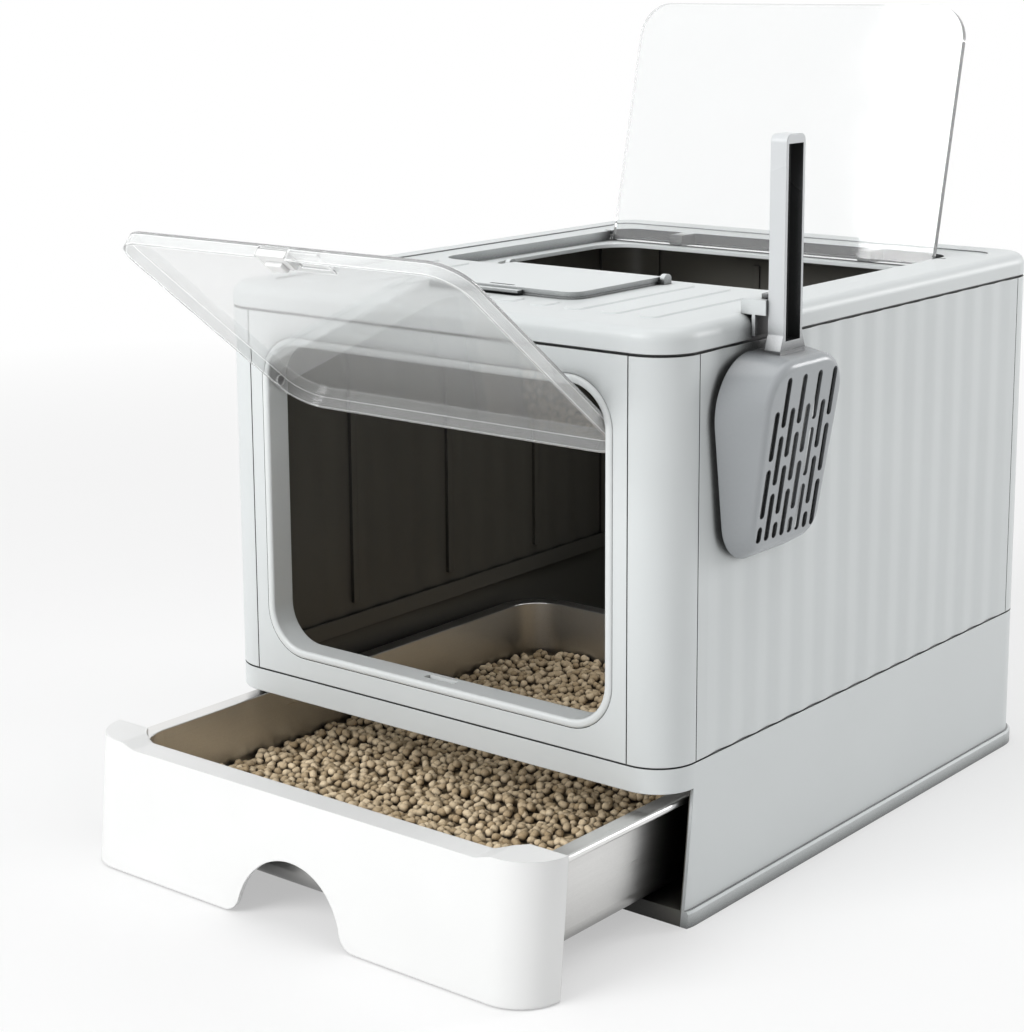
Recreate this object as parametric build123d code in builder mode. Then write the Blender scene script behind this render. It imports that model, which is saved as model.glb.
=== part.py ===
"""Enclosed litter box with a steel pan in a drawer, a front flap, a top flap and a hung scoop.

Millimetres, +Z up. The origin is on the floor under the middle of the housing, the doorway faces -Y
and the scoop hangs on the +X side. The drawer is pulled out and both flaps stand open.
"""
import os
from math import cos, pi, radians, sin, tan

from build123d import *

# Housing
body_width = 400.0
body_depth = 500.0
corner_radius = 30.0
shell_wall = 3.0
base_height = 112.0
enclosure_top = 380.0
post_reach = 32.0
seam_gap = 0.8
flange_reach = 9.0
flange_thickness = 2.2

# Base tray
floor_top = 11.0
floor_thickness = 3.0
skirt_proud = 3.0
skirt_chamfer = 1.5
rail_height = 18.0
front_slant = 9.0
sill_thickness = 6.0
base_rib = 2.5
base_rib_pitch = 120.0
base_groove = 1.2
base_groove_depth = 1.8
lip_thickness = 2.0
lip_rise = 5.0
lip_depth = 8.0
lip_clearance = 0.4
runner_width = 10.0
runner_height = 0.7
runner_spread = 240.0

# Side panels
wave_depth = 1.2
wave_count = 14
wave_margin = 11.4
inner_rib_width = 6.0
inner_rib_depth = 1.6
inner_rib_pitch = 115.0
inner_rib_inset = 14.0

# Doorway and front flap
door_margin = 50.0
door_sill = 21.0
door_head = 22.0
door_radius = 29.0
rim_width = 6.0
rim_fit = 0.15
rim_proud = 1.2
rim_depth = 20.0
rim_round = 2.4
flap_gap = 2.5
flap_radius = 25.0
flap_depth = 10.0
flap_wall = 2.2
flap_edge = 1.6
flap_pivot_drop = 27.0
flap_setback = 4.5
flap_open = 128.2
pin_radius = 2.5
pin_collar_radius = 4.0
pin_collar = 1.6
pin_bite = 5.0
pin_end_gap = 0.4
running_clearance = 0.05

# Flap latch
latch_width = 25.0
latch_reach = 14.0
latch_thickness = 5.0
latch_clearance = 0.5
latch_slide_gap = 0.2
latch_plate_length = 52.0
latch_plate_height = 22.0
latch_plate_thickness = 2.0
latch_plate_shift = 10.0
latch_window_length = 24.0
latch_window_height = 12.0
latch_knob_width = 14.0
latch_knob_length = 8.0
latch_knob_rise = 3.0

# Lid
lid_rise = 18.0
lid_groove = 1.9
lid_wall = 3.0
lid_edge_radius = 8.0
lid_seat_inset = 2.6
lid_seat = 6.0
lid_seat_height = 3.0
tongue_length = 160.0
tongue_thickness = 2.4
tongue_drop = 8.0
tongue_clearance = 0.6
border_side = 22.0
border_end = 30.0
field_drop = 1.0
field_radius = 14.0
rib_width = 16.0
rib_pitch = 30.0
rib_inset = 12.0
rib_taper = 45.0
side_rib_count = 3
front_rib_count = 5

# Top opening and top flap
well_margin = 44.0
well_setback = 195.0
well_rear_margin = 57.0
well_depth = 9.0
well_radius = 18.0
ledge_side = 13.0
ledge_front = 37.0
ledge_rear = 35.0
hole_radius = 30.0
top_flap_side_gap = 4.0
top_flap_front_gap = 25.0
top_flap_thickness = 5.0
top_flap_radius = 28.0
top_pivot_inset = 23.0
top_lean = 12.7
top_pin_radius = 2.0
top_pin_collar = 3.4
top_pin_bite = 6.0
boss_length = 12.0
boss_reach = 8.0
snap_slot = 3.4
stop_width = 12.0
stop_spread = 180.0
rest_gap = 0.3

# Deodoriser box in the lid
deodoriser_width = 136.0
deodoriser_depth = 104.0
deodoriser_setback = 76.0
deodoriser_radius = 12.0
cover_thickness = 3.4
cover_lift = 0.2
cover_slot_length = 22.0
cover_slot_width = 3.0
cover_slot_inset = 6.0
cover_tab_width = 46.0
cover_tab_reach = 6.0
cover_tab_thickness = 1.8
tray_flange = 8.0
tray_flange_thickness = 1.6
tray_depth = 20.0
tray_wall = 1.8
tray_fit = 0.4
tray_slot_pitch = 12.0
tray_slot_width = 4.0
tray_slot_length = 56.0
tray_slot_count = 8
ear_thickness = 4.0
ear_gap = 0.6
ear_length = 9.0
ear_rise = 2.0
cover_pin_radius = 1.5
bag_length = 108.0
bag_width = 76.0
bag_thickness = 13.0
bag_taper = 55.0
bag_radius = 6.0
bag_gap = 0.2

# Scoop and its hanger
scoop_setback = 103.0
scoop_standoff = 5.0
scoop_drop = 22.0
scoop_length = 137.0
scoop_depth = 34.0
scoop_tip_depth = 13.0
scoop_shoulder = 134.0
scoop_tip = 97.0
scoop_shoulder_radius = 40.0
scoop_tip_radius = 30.0
face_top_drop = 4.0
face_bottom_rise = 9.0
face_shoulder = 88.0
face_tip = 78.0
face_shoulder_radius = 26.0
face_tip_radius = 16.0
scoop_edge = 6.0
scoop_wall = 2.2
slot_columns = 8
slot_rows = 3
slot_pitch = 9.2
slot_width = 5.4
slot_length = 33.0
slot_row_pitch = 38.5
slot_stagger = 21.0
slot_margin = 14.0
handle_width = 22.0
handle_depth = 12.0
handle_length = 138.0
handle_wall = 2.4
handle_flare = 4.0
handle_flare_height = 10.0
handle_end = 6.0
handle_end_radius = 5.0
handle_foot = 7.0
hanger_width = 26.0
hanger_height = 10.0
hanger_reach_in = 8.0
hanger_reach_out = 11.0
hanger_leg = 2.6
hanger_leg_drop = 14.0
hanger_fit = 0.4
hook_thickness = 3.2
hook_width = 14.0
hook_drop = 7.0
hook_wall = 3.5
hook_clearance = 0.4
handle_gap = 0.5

# Drawer
drawer_out = 134.0
drawer_wall = 3.2
drawer_proud = 2.5
drawer_foot = 1.0
drawer_top_gap = 1.5
drawer_dip = 3.5
drawer_dip_inset = 46.0
drawer_dip_run = 12.0
drawer_dip_round = 10.0
drawer_seam = 2.0
drawer_lip_gap = 1.0
drawer_lip_reach = 18.0
drawer_lip_side = 24.0
drawer_lip_radius = 26.0
arch_radius = 47.0
arch_flare = 14.0
hook_rib_count = 4
hook_rib_pitch = 100.0
hook_rib_width = 4.0
hook_rib_height = 28.0
pan_floor_gap = 0.3
pan_rim_drop = 9.0
pan_side_gap = 5.0
pan_end_gap = 5.0
pan_draft = 3.0
pan_radius = 30.0
pan_floor_radius = 15.0
pan_sheet = 1.0
pan_flange = 13.0
pan_roll_width = 6.0
pan_roll_height = 5.0
pan_roll_round = 2.0
pan_bend_round = 0.9
pan_front_gap = 3.0
litter_depth = 33.0
litter_ridge = 3.2
litter_ridge_count = 12
litter_gap = 0.5

# Worked out from the sizes above
half_width = body_width / 2
half_depth = body_depth / 2
panel_width = body_width - 2 * (post_reach + seam_gap)
panel_depth = body_depth - 2 * (post_reach + seam_gap)
enclosure_height = enclosure_top - base_height
enclosure_middle = (enclosure_top + base_height) / 2
rail_bottom = base_height - rail_height
mouth_top_y = -half_depth + corner_radius
wave_pitch = (panel_depth - 2 * wave_margin) / wave_count
inner_rib_bottom = base_height + inner_rib_inset
inner_rib_height = enclosure_height - 2 * inner_rib_inset

door_width = body_width - 2 * door_margin
door_bottom = base_height + door_sill
door_top = enclosure_top - door_head
door_height = door_top - door_bottom
door_middle = (door_top + door_bottom) / 2
flap_width = door_width - 2 * flap_gap
flap_height = door_height - 2 * flap_gap
flap_free_edge = flap_pivot_drop - flap_height
flap_pivot_y = -half_depth + flap_setback + flap_depth / 2
flap_pivot_z = door_top - flap_gap - flap_pivot_drop
flap_tilt = radians(flap_open - 90)
latch_seat = flap_depth / 2 - flap_wall - latch_plate_thickness - latch_slide_gap

lid_bottom = enclosure_top + lid_groove
lid_top = enclosure_top + lid_rise
field_level = lid_top - field_drop
ledge_level = lid_top - well_depth
well_width = body_width - 2 * well_margin
well_front = -half_depth + well_setback
well_rear = half_depth - well_rear_margin
well_length = well_rear - well_front
well_middle = (well_rear + well_front) / 2
top_pivot_y = well_rear - top_pivot_inset
top_pivot_z = ledge_level + rest_gap + top_flap_thickness / 2
top_flap_width = well_width - 2 * top_flap_side_gap
top_flap_length = well_length - top_pivot_inset - top_flap_front_gap
deodoriser_front = -half_depth + deodoriser_setback
deodoriser_middle = deodoriser_front + deodoriser_depth / 2
cover_bottom = field_level + tray_flange_thickness + cover_lift
cover_pivot_y = deodoriser_front + deodoriser_depth - cover_thickness / 2
cover_pivot_z = cover_bottom + cover_thickness / 2
tray_width = deodoriser_width - 2 * tray_flange
tray_length = deodoriser_depth - 2 * tray_flange

scoop_y = -half_depth + scoop_setback
scoop_top = lid_top - scoop_drop
scoop_back = half_width + scoop_standoff
hanger_top = lid_top + hanger_height
hanger_face = half_width + hanger_reach_out
handle_back = hanger_face + handle_gap
handle_x = handle_back + handle_depth / 2
pocket_width = hook_thickness + 2 * hook_clearance
pocket_x = hanger_face - hook_wall - pocket_width / 2

drawer_top = rail_bottom - drawer_top_gap
pan_rim_height = rail_bottom - pan_rim_drop
pan_floor = floor_top + runner_height + pan_floor_gap
pan_height = pan_rim_height - pan_floor
pan_width = body_width - 2 * (shell_wall + pan_side_gap + pan_flange)
pan_length = body_depth - 2 * (shell_wall + pan_end_gap + pan_flange)
drawer_face = mouth_top_y - corner_radius - drawer_out - drawer_proud
drawer_lip_bottom = pan_rim_height + drawer_lip_gap
pan_flange_front = drawer_face + drawer_wall + pan_front_gap
pan_middle = pan_flange_front + pan_flange + pan_length / 2
litter_bottom = pan_floor + pan_sheet + litter_gap
litter_top = litter_bottom + litter_depth
litter_inset = (pan_rim_height - litter_top) * tan(radians(pan_draft)) + pan_sheet + litter_gap

litter_length = pan_length - 2 * litter_inset
ridge_step = litter_length / litter_ridge_count / 2

front_plane = Plane(origin=(0, -half_depth, 0), x_dir=(1, 0, 0), z_dir=(0, -1, 0))
flap_plane = Plane(
    origin=(0, flap_pivot_y, flap_pivot_z), x_dir=(1, 0, 0), z_dir=(0, sin(flap_tilt), cos(flap_tilt))
)
lean = radians(top_lean)
top_flap_plane = Plane(
    origin=(0, top_pivot_y, top_pivot_z), x_dir=(1, 0, 0), z_dir=(0, -cos(lean), sin(lean))
)
scoop_plane = Plane.XZ.offset(-scoop_y)


def rounded_ring(width, depth, radius, inset):
    """Draw a rounded rectangle less the same shape drawn in by inset."""
    RectangleRounded(width, depth, radius)
    RectangleRounded(width - 2 * inset, depth - 2 * inset, radius - inset, mode=Mode.SUBTRACT)


def housing_ring(outer_inset, inner_inset):
    """Draw a band that follows the housing's outline between two insets."""
    rounded_ring(
        body_width - 2 * outer_inset,
        body_depth - 2 * outer_inset,
        corner_radius - outer_inset,
        inner_inset - outer_inset,
    )


def mouth_y(height):
    """Front edge of the base's side walls, which leans out towards the floor."""
    return mouth_top_y - front_slant * (1 - height / rail_bottom)


def write(builder, name):
    """Label a finished piece and write its file."""
    builder.part.label = name
    export_step(builder.part, f"parts/{name}.step")


os.makedirs("parts", exist_ok=True)

# Base tray: walls, ribbed floor, skirt, drawer runners, and a rail over the drawer's mouth
with BuildPart() as base_tray:
    with BuildSketch():
        RectangleRounded(
            body_width + 2 * skirt_proud, body_depth + 2 * skirt_proud, corner_radius + skirt_proud
        )
    extrude(amount=floor_top)
    chamfer(base_tray.edges().group_by(Axis.Z)[-1], skirt_chamfer)
    with BuildSketch():
        RectangleRounded(body_width, body_depth, corner_radius)
    extrude(amount=base_height)
    inner_size = (body_width - 2 * shell_wall, body_depth - 2 * shell_wall, corner_radius - shell_wall)
    with BuildSketch(Plane.XY.offset(floor_top)):
        RectangleRounded(*inner_size)
    extrude(amount=base_height, mode=Mode.SUBTRACT)
    with BuildSketch():
        RectangleRounded(*inner_size)
    extrude(amount=floor_top - floor_thickness, mode=Mode.SUBTRACT)
    with BuildSketch():
        with GridLocations(base_rib_pitch, 0, 3, 1):
            Rectangle(base_rib, body_depth - shell_wall)
        with GridLocations(0, base_rib_pitch, 1, 3):
            Rectangle(body_width - shell_wall, base_rib)
        with Locations((0, mouth_y(0) + sill_thickness / 2)):
            Rectangle(body_width - shell_wall, sill_thickness)
    extrude(amount=floor_top - floor_thickness / 2)
    with BuildSketch(Plane.XY.offset(floor_top)):
        with GridLocations(runner_spread, 0, 2, 1):
            Rectangle(runner_width, body_depth - shell_wall)
    extrude(amount=runner_height)
    lip_inset = shell_wall + wave_depth + lip_clearance
    with BuildSketch(Plane.XY.offset(base_height - lip_depth)):
        housing_ring(lip_inset, lip_inset + lip_thickness)
    extrude(amount=lip_depth + lip_rise)
    with BuildSketch(Plane.XY.offset(base_height - lip_depth)):
        housing_ring(shell_wall / 2, lip_inset + lip_thickness)
    extrude(amount=lip_depth / 2)
    with BuildSketch(Plane.YZ):
        with BuildLine():
            Polyline(
                (-body_depth, 0),
                (mouth_y(0), 0),
                (mouth_top_y, rail_bottom),
                (-body_depth, rail_bottom),
                close=True,
            )
        make_face()
    extrude(amount=body_width, both=True, mode=Mode.SUBTRACT)
    with BuildSketch(Plane.XY.offset(base_height - base_groove)):
        housing_ring(0, base_groove_depth)
    extrude(amount=base_groove, mode=Mode.SUBTRACT)
write(base_tray, "base_tray")

# Four corner posts, each with a flange behind the panels' edges
for end, end_sign in (("front", -1), ("rear", 1)):
    for side, side_sign in (("left", -1), ("right", 1)):
        with BuildPart() as corner_post:
            with BuildSketch(Plane.XY.offset(base_height)):
                housing_ring(0, shell_wall)
                with Locations((side_sign * half_width, end_sign * half_depth)):
                    Rectangle(2 * post_reach, 2 * post_reach, mode=Mode.INTERSECT)
            extrude(amount=enclosure_height)
            flange_bottom = base_height + lip_rise + lip_clearance
            with BuildSketch(Plane.XY.offset(flange_bottom)):
                housing_ring(shell_wall, shell_wall + flange_thickness)
                with Locations((side_sign * half_width, end_sign * half_depth)):
                    flange_square = 2 * (post_reach + flange_reach)
                    Rectangle(flange_square, flange_square, mode=Mode.INTERSECT)
            extrude(amount=enclosure_top - flange_bottom)
        write(corner_post, f"{end}_{side}_post")


def wave_line(face, side_sign):
    """Points of one face of a side panel, flat at the front and waved towards the rear."""
    first_wave = wave_margin - panel_depth / 2
    points = []
    for quarter in range(4 * wave_count + 1):
        turn = quarter / 4
        dip = wave_depth * (1 - cos(2 * pi * turn)) / 2
        points.append((side_sign * (face - dip), first_wave + turn * wave_pitch))
    return points


# Two side panels with soft upright waves outside and stiffening ribs inside
for side, side_sign in (("left", -1), ("right", 1)):
    outer_face, inner_face = half_width, half_width - shell_wall
    outer_waves = wave_line(outer_face, side_sign)
    inner_waves = wave_line(inner_face, side_sign)
    upright = ((0, 1), (0, 1))
    with BuildPart() as side_panel:
        with BuildSketch(Plane.XY.offset(base_height)):
            with BuildLine():
                Line((side_sign * outer_face, -panel_depth / 2), outer_waves[0])
                Spline(outer_waves, tangents=upright)
                Polyline(
                    outer_waves[-1],
                    (side_sign * outer_face, panel_depth / 2),
                    (side_sign * inner_face, panel_depth / 2),
                    inner_waves[-1],
                )
                Spline(inner_waves, tangents=upright)
                Polyline(
                    inner_waves[0],
                    (side_sign * inner_face, -panel_depth / 2),
                    (side_sign * outer_face, -panel_depth / 2),
                )
            make_face()
        extrude(amount=enclosure_height)
        with BuildSketch(Plane.XY.offset(inner_rib_bottom)):
            rib_reach = wave_depth + inner_rib_depth
            with Locations((side_sign * (inner_face - rib_reach / 2 + inner_rib_depth / 4), 0)):
                with GridLocations(0, inner_rib_pitch, 1, 3):
                    Rectangle(rib_reach + inner_rib_depth / 2, inner_rib_width)
        extrude(amount=inner_rib_height)
    write(side_panel, f"{side}_side_panel")

# Rear panel
with BuildPart() as rear_panel:
    with BuildSketch(Plane.XY.offset(base_height)):
        with Locations((0, half_depth - shell_wall / 2)):
            Rectangle(panel_width, shell_wall)
    extrude(amount=enclosure_height)
    with BuildSketch(Plane.XY.offset(inner_rib_bottom)):
        with Locations((0, half_depth - shell_wall - inner_rib_depth / 2)):
            with GridLocations(inner_rib_pitch, 0, 2, 1):
                Rectangle(inner_rib_width, inner_rib_depth)
    extrude(amount=inner_rib_height)
write(rear_panel, "rear_panel")

# Front panel with the doorway
with BuildPart() as front_panel:
    with BuildSketch(front_plane):
        with Locations((0, enclosure_middle)):
            Rectangle(panel_width, enclosure_height)
        with Locations((0, door_middle)):
            rim_space = rim_width + rim_fit
            RectangleRounded(
                door_width + 2 * rim_space,
                door_height + 2 * rim_space,
                door_radius + rim_space,
                mode=Mode.SUBTRACT,
            )
    extrude(amount=-shell_wall)
write(front_panel, "front_panel")

# Doorway rim, which holds the flap's pins and takes the latch
with BuildPart() as doorway_rim:
    with BuildSketch(front_plane.offset(rim_proud)):
        with Locations((0, door_middle)):
            rounded_ring(
                door_width + 2 * rim_width, door_height + 2 * rim_width, door_radius + rim_width, rim_width
            )
    extrude(amount=-rim_depth)
    fillet(doorway_rim.faces().sort_by(Axis.Y)[0].edges(), rim_round)
    with BuildSketch(Plane.YZ):
        with Locations((flap_pivot_y, flap_pivot_z)):
            Circle(pin_radius + running_clearance)
    extrude(amount=door_width / 2 + pin_bite + pin_end_gap, both=True, mode=Mode.SUBTRACT)
    with BuildSketch(Plane.XY.offset(door_bottom)):
        with Locations((0, flap_pivot_y - latch_seat + latch_thickness / 2)):
            Rectangle(latch_width + 2 * latch_clearance, latch_thickness + 2 * latch_clearance)
    extrude(amount=-rim_width, mode=Mode.SUBTRACT)
write(doorway_rim, "doorway_rim")

# Front flap: a clear tray-shaped panel with a rim all round, notched for the latch
with BuildPart() as front_flap:
    flap_inner_plane = flap_plane.offset(-flap_depth / 2)
    with BuildSketch(flap_inner_plane):
        with Locations((0, flap_pivot_drop - flap_height / 2)):
            RectangleRounded(flap_width, flap_height, flap_radius)
    extrude(amount=flap_depth)
    outward = Axis(flap_plane.origin, flap_plane.z_dir)
    fillet(front_flap.faces().sort_by(outward)[-1].edges(), flap_edge)
    with BuildSketch(flap_inner_plane):
        with Locations((0, flap_pivot_drop - flap_height / 2)):
            RectangleRounded(flap_width - 2 * flap_wall, flap_height - 2 * flap_wall, flap_radius - flap_wall)
        with Locations((0, flap_free_edge)):
            Rectangle(latch_width + 2 * latch_clearance, 2 * flap_wall + latch_clearance)
    extrude(amount=flap_depth - flap_wall, mode=Mode.SUBTRACT)
write(front_flap, "front_flap")

# Pins of the front flap
with BuildPart() as front_flap_pins:
    for side_sign in (-1, 1):
        with BuildSketch(Plane.YZ.offset(side_sign * flap_width / 2)):
            with Locations((flap_pivot_y, flap_pivot_z)):
                Circle(pin_collar_radius)
        extrude(amount=side_sign * pin_collar)
        with BuildSketch(Plane.YZ.offset(side_sign * flap_width / 2)):
            with Locations((flap_pivot_y, flap_pivot_z)):
                Circle(pin_radius)
        extrude(amount=side_sign * (flap_gap + pin_bite))
write(front_flap_pins, "front_flap_pins")

# Guide plate of the flap's latch, with a window beside the slider
with BuildPart() as latch_plate:
    latch_plate_edge = flap_free_edge + flap_wall + latch_clearance
    with BuildSketch(flap_plane.offset(flap_depth / 2 - flap_wall)):
        with Locations((latch_plate_shift, latch_plate_edge + latch_plate_height / 2)):
            Rectangle(latch_plate_length, latch_plate_height)
        window_shift = (latch_plate_length - latch_window_length) / 2 - latch_plate_thickness
        with Locations((latch_plate_shift + window_shift, latch_plate_edge + latch_plate_height / 2)):
            Rectangle(latch_window_length, latch_window_height, mode=Mode.SUBTRACT)
    extrude(amount=-latch_plate_thickness)
write(latch_plate, "latch_plate")

# Slider of the flap's latch, with a finger knob
with BuildPart() as latch_slider:
    with BuildSketch(flap_plane.offset(latch_seat)):
        with Locations((0, flap_free_edge + latch_reach / 2)):
            Rectangle(latch_width, latch_reach)
    extrude(amount=-latch_thickness)
    with BuildSketch(flap_plane.offset(latch_seat - latch_thickness)):
        with Locations((0, flap_free_edge + latch_reach - latch_knob_length / 2)):
            Rectangle(latch_knob_width, latch_knob_length)
    extrude(amount=-latch_knob_rise)
    fillet(latch_slider.faces().sort_by(outward)[0].edges(), latch_knob_rise / 3)
write(latch_slider, "latch_slider")

# Lid: skirt, raised border, ribbed field, flap well, hinge bosses, deodoriser hole and seat
with BuildPart() as lid:
    with BuildSketch(Plane.XY.offset(lid_bottom)):
        RectangleRounded(body_width, body_depth, corner_radius)
    extrude(amount=lid_top - lid_bottom)
    fillet(lid.edges().group_by(Axis.Z)[-1], lid_edge_radius)
    with BuildSketch(Plane.XY.offset(lid_bottom)):
        RectangleRounded(body_width - 2 * lid_wall, body_depth - 2 * lid_wall, corner_radius - lid_wall)
    extrude(amount=field_level - lid_wall - lid_bottom, mode=Mode.SUBTRACT)
    with BuildSketch(Plane.XY.offset(field_level)):
        RectangleRounded(body_width - 2 * border_side, body_depth - 2 * border_end, field_radius)
    extrude(amount=2 * field_drop, mode=Mode.SUBTRACT)
    with BuildSketch(Plane.XY.offset(enclosure_top)):
        housing_ring(lid_seat_inset, lid_seat_inset + lid_seat)
    extrude(amount=lid_groove + lid_seat_height)
    tongue_inset = shell_wall + wave_depth + tongue_clearance + tongue_thickness / 2
    with BuildSketch(Plane.XY.offset(enclosure_top - tongue_drop)):
        with GridLocations(body_width - 2 * tongue_inset, 0, 2, 1):
            Rectangle(tongue_thickness, tongue_length)
        with GridLocations(0, body_depth - 2 * tongue_inset, 1, 2):
            Rectangle(tongue_length, tongue_thickness)
    extrude(amount=tongue_drop + lid_groove)
    well_shape = (well_width, well_length, well_radius)
    with BuildSketch(Plane.XY.offset(ledge_level - lid_wall)):
        with Locations((0, well_middle)):
            RectangleRounded(well_width + 2 * lid_wall, well_length + 2 * lid_wall, well_radius + lid_wall)
        with Locations((0, top_pivot_y)):
            Rectangle(well_width + 2 * boss_reach, boss_length)
    extrude(amount=field_level - ledge_level + lid_wall)
    with BuildSketch(Plane.XY.offset(ledge_level)):
        with Locations((0, well_middle)):
            RectangleRounded(*well_shape)
    extrude(amount=well_depth, mode=Mode.SUBTRACT)
    hole_length = well_length - ledge_front - ledge_rear
    with BuildSketch(Plane.XY.offset(ledge_level)):
        with Locations((0, well_front + ledge_front + hole_length / 2)):
            RectangleRounded(well_width - 2 * ledge_side, hole_length, hole_radius)
    extrude(amount=-2 * lid_wall, mode=Mode.SUBTRACT)
    with BuildSketch(Plane.YZ):
        with Locations((top_pivot_y, top_pivot_z)):
            Circle(top_pin_radius + running_clearance)
        with Locations((top_pivot_y, (top_pivot_z + lid_top) / 2)):
            Rectangle(snap_slot, lid_top - top_pivot_z)
    extrude(amount=well_width / 2 + top_pin_bite + pin_end_gap, both=True, mode=Mode.SUBTRACT)
    stop_offset = (top_flap_thickness / 2 + rest_gap) / cos(lean)
    stop_heights = (ledge_level, field_level)
    stop_low, stop_high = (
        top_pivot_y + stop_offset + (height - top_pivot_z) * tan(lean) for height in stop_heights
    )
    for side_sign in (-1, 1):
        with BuildSketch(Plane.YZ.offset(side_sign * stop_spread / 2)):
            with BuildLine():
                Polyline(
                    (stop_low, ledge_level),
                    (well_rear + lid_wall / 2, ledge_level),
                    (well_rear + lid_wall / 2, field_level),
                    (stop_high, field_level),
                    close=True,
                )
            make_face()
        extrude(amount=stop_width / 2, both=True)
    with BuildSketch(Plane.XY.offset(field_level)):
        with Locations((0, deodoriser_middle)):
            RectangleRounded(tray_width, tray_length, deodoriser_radius)
    extrude(amount=-2 * lid_wall, mode=Mode.SUBTRACT)
    field_front = -half_depth + border_end
    side_rib_length = well_front - field_front - 2 * rib_inset
    front_rib_length = deodoriser_front - cover_tab_reach - field_front - 1.5 * rib_inset
    side_rib_x = deodoriser_width / 2 + ear_gap + ear_thickness + rib_width
    with BuildSketch(Plane.XY.offset(field_level)):
        for side_sign in (-1, 1):
            for number in range(side_rib_count):
                rib_x = side_sign * (side_rib_x + number * rib_pitch)
                with Locations((rib_x, field_front + rib_inset + side_rib_length / 2)):
                    SlotOverall(side_rib_length, rib_width, rotation=90)
        with Locations((0, field_front + rib_inset + front_rib_length / 2)):
            with GridLocations(rib_pitch, 0, front_rib_count, 1):
                SlotOverall(front_rib_length, rib_width, rotation=90)
    extrude(amount=field_drop, taper=rib_taper)
write(lid, "lid")

# Top flap: a clear plate with a round lower edge on the pivot
with BuildPart() as top_flap:
    with BuildSketch(top_flap_plane):
        with Locations((0, top_flap_length / 2)):
            flap_sheet = Rectangle(top_flap_width, top_flap_length)
        fillet(flap_sheet.vertices().group_by(Axis.Y)[-1], top_flap_radius)
    extrude(amount=top_flap_thickness / 2, both=True)
    with BuildSketch(Plane.YZ):
        with Locations((top_pivot_y, top_pivot_z)):
            Circle(top_flap_thickness / 2)
    extrude(amount=top_flap_width / 2, both=True)
write(top_flap, "top_flap")

# Pins of the top flap
with BuildPart() as top_flap_pins:
    for side_sign in (-1, 1):
        with BuildSketch(Plane.YZ.offset(side_sign * top_flap_width / 2)):
            with Locations((top_pivot_y, top_pivot_z)):
                Circle(top_flap_thickness / 2)
        extrude(amount=side_sign * top_pin_collar)
        with BuildSketch(Plane.YZ.offset(side_sign * top_flap_width / 2)):
            with Locations((top_pivot_y, top_pivot_z)):
                Circle(top_pin_radius)
        extrude(amount=side_sign * (top_flap_side_gap + top_pin_bite))
write(top_flap_pins, "top_flap_pins")

# Deodoriser tray: a slotted box hung in the lid by its flange, with ears for the cover
with BuildPart() as deodoriser_tray:
    ear_span = deodoriser_width + 2 * ear_gap + ear_thickness
    with BuildSketch(Plane.XY.offset(field_level)):
        with Locations((0, deodoriser_middle)):
            RectangleRounded(deodoriser_width, deodoriser_depth, deodoriser_radius)
        with Locations((0, cover_pivot_y)):
            Rectangle(ear_span + ear_thickness, ear_length)
    extrude(amount=tray_flange_thickness)
    with BuildSketch(Plane.XY.offset(field_level + tray_flange_thickness)):
        with Locations((0, cover_pivot_y)):
            with GridLocations(ear_span, 0, 2, 1):
                Rectangle(ear_thickness, ear_length)
    extrude(amount=cover_lift + cover_thickness + ear_rise)
    ear_tops = deodoriser_tray.edges().filter_by(Axis.X).group_by(Axis.Z)[-1]
    fillet(ear_tops, ear_length / 2 - ear_gap)
    tray_plane = Plane.XY.offset(field_level)
    tray_radius = deodoriser_radius - tray_fit
    with BuildSketch(tray_plane):
        with Locations((0, deodoriser_middle)):
            RectangleRounded(tray_width - 2 * tray_fit, tray_length - 2 * tray_fit, tray_radius)
    extrude(amount=-tray_depth)
    with BuildSketch(tray_plane.offset(tray_flange_thickness)):
        with Locations((0, deodoriser_middle)):
            tray_inset = 2 * (tray_fit + tray_wall)
            RectangleRounded(tray_width - tray_inset, tray_length - tray_inset, tray_radius - tray_wall)
    extrude(amount=tray_wall - tray_depth - tray_flange_thickness, mode=Mode.SUBTRACT)
    with BuildSketch(tray_plane.offset(-tray_depth)):
        with Locations((0, deodoriser_middle)):
            with GridLocations(tray_slot_pitch, 0, tray_slot_count, 1):
                SlotOverall(tray_slot_length, tray_slot_width, rotation=90)
    extrude(amount=tray_wall, mode=Mode.SUBTRACT)
    with BuildSketch(Plane.YZ):
        with Locations((cover_pivot_y, cover_pivot_z)):
            Circle(cover_pin_radius + running_clearance)
    extrude(amount=ear_span / 2 + ear_thickness / 2 - pin_end_gap, both=True, mode=Mode.SUBTRACT)
write(deodoriser_tray, "deodoriser_tray")

# Deodoriser cover with a finger tab and a slot, round along its hinge edge
with BuildPart() as deodoriser_cover:
    with BuildSketch(Plane.XY.offset(cover_bottom)):
        with Locations((0, (deodoriser_front + cover_pivot_y) / 2)):
            cover_sheet = Rectangle(deodoriser_width, cover_pivot_y - deodoriser_front)
        fillet(cover_sheet.vertices().group_by(Axis.Y)[0], deodoriser_radius)
    extrude(amount=cover_thickness)
    with BuildSketch(Plane.YZ):
        with Locations((cover_pivot_y, cover_pivot_z)):
            Circle(cover_thickness / 2)
    extrude(amount=deodoriser_width / 2, both=True)
    with BuildSketch(Plane.XY.offset(cover_bottom)):
        with Locations((0, deodoriser_front)):
            Rectangle(cover_tab_width, 2 * cover_tab_reach)
    extrude(amount=cover_tab_thickness)
    with BuildSketch(Plane.XY.offset(cover_bottom)):
        with Locations((0, deodoriser_front + cover_slot_inset)):
            SlotOverall(cover_slot_length, cover_slot_width)
    extrude(amount=cover_thickness, mode=Mode.SUBTRACT)
write(deodoriser_cover, "deodoriser_cover")

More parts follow.
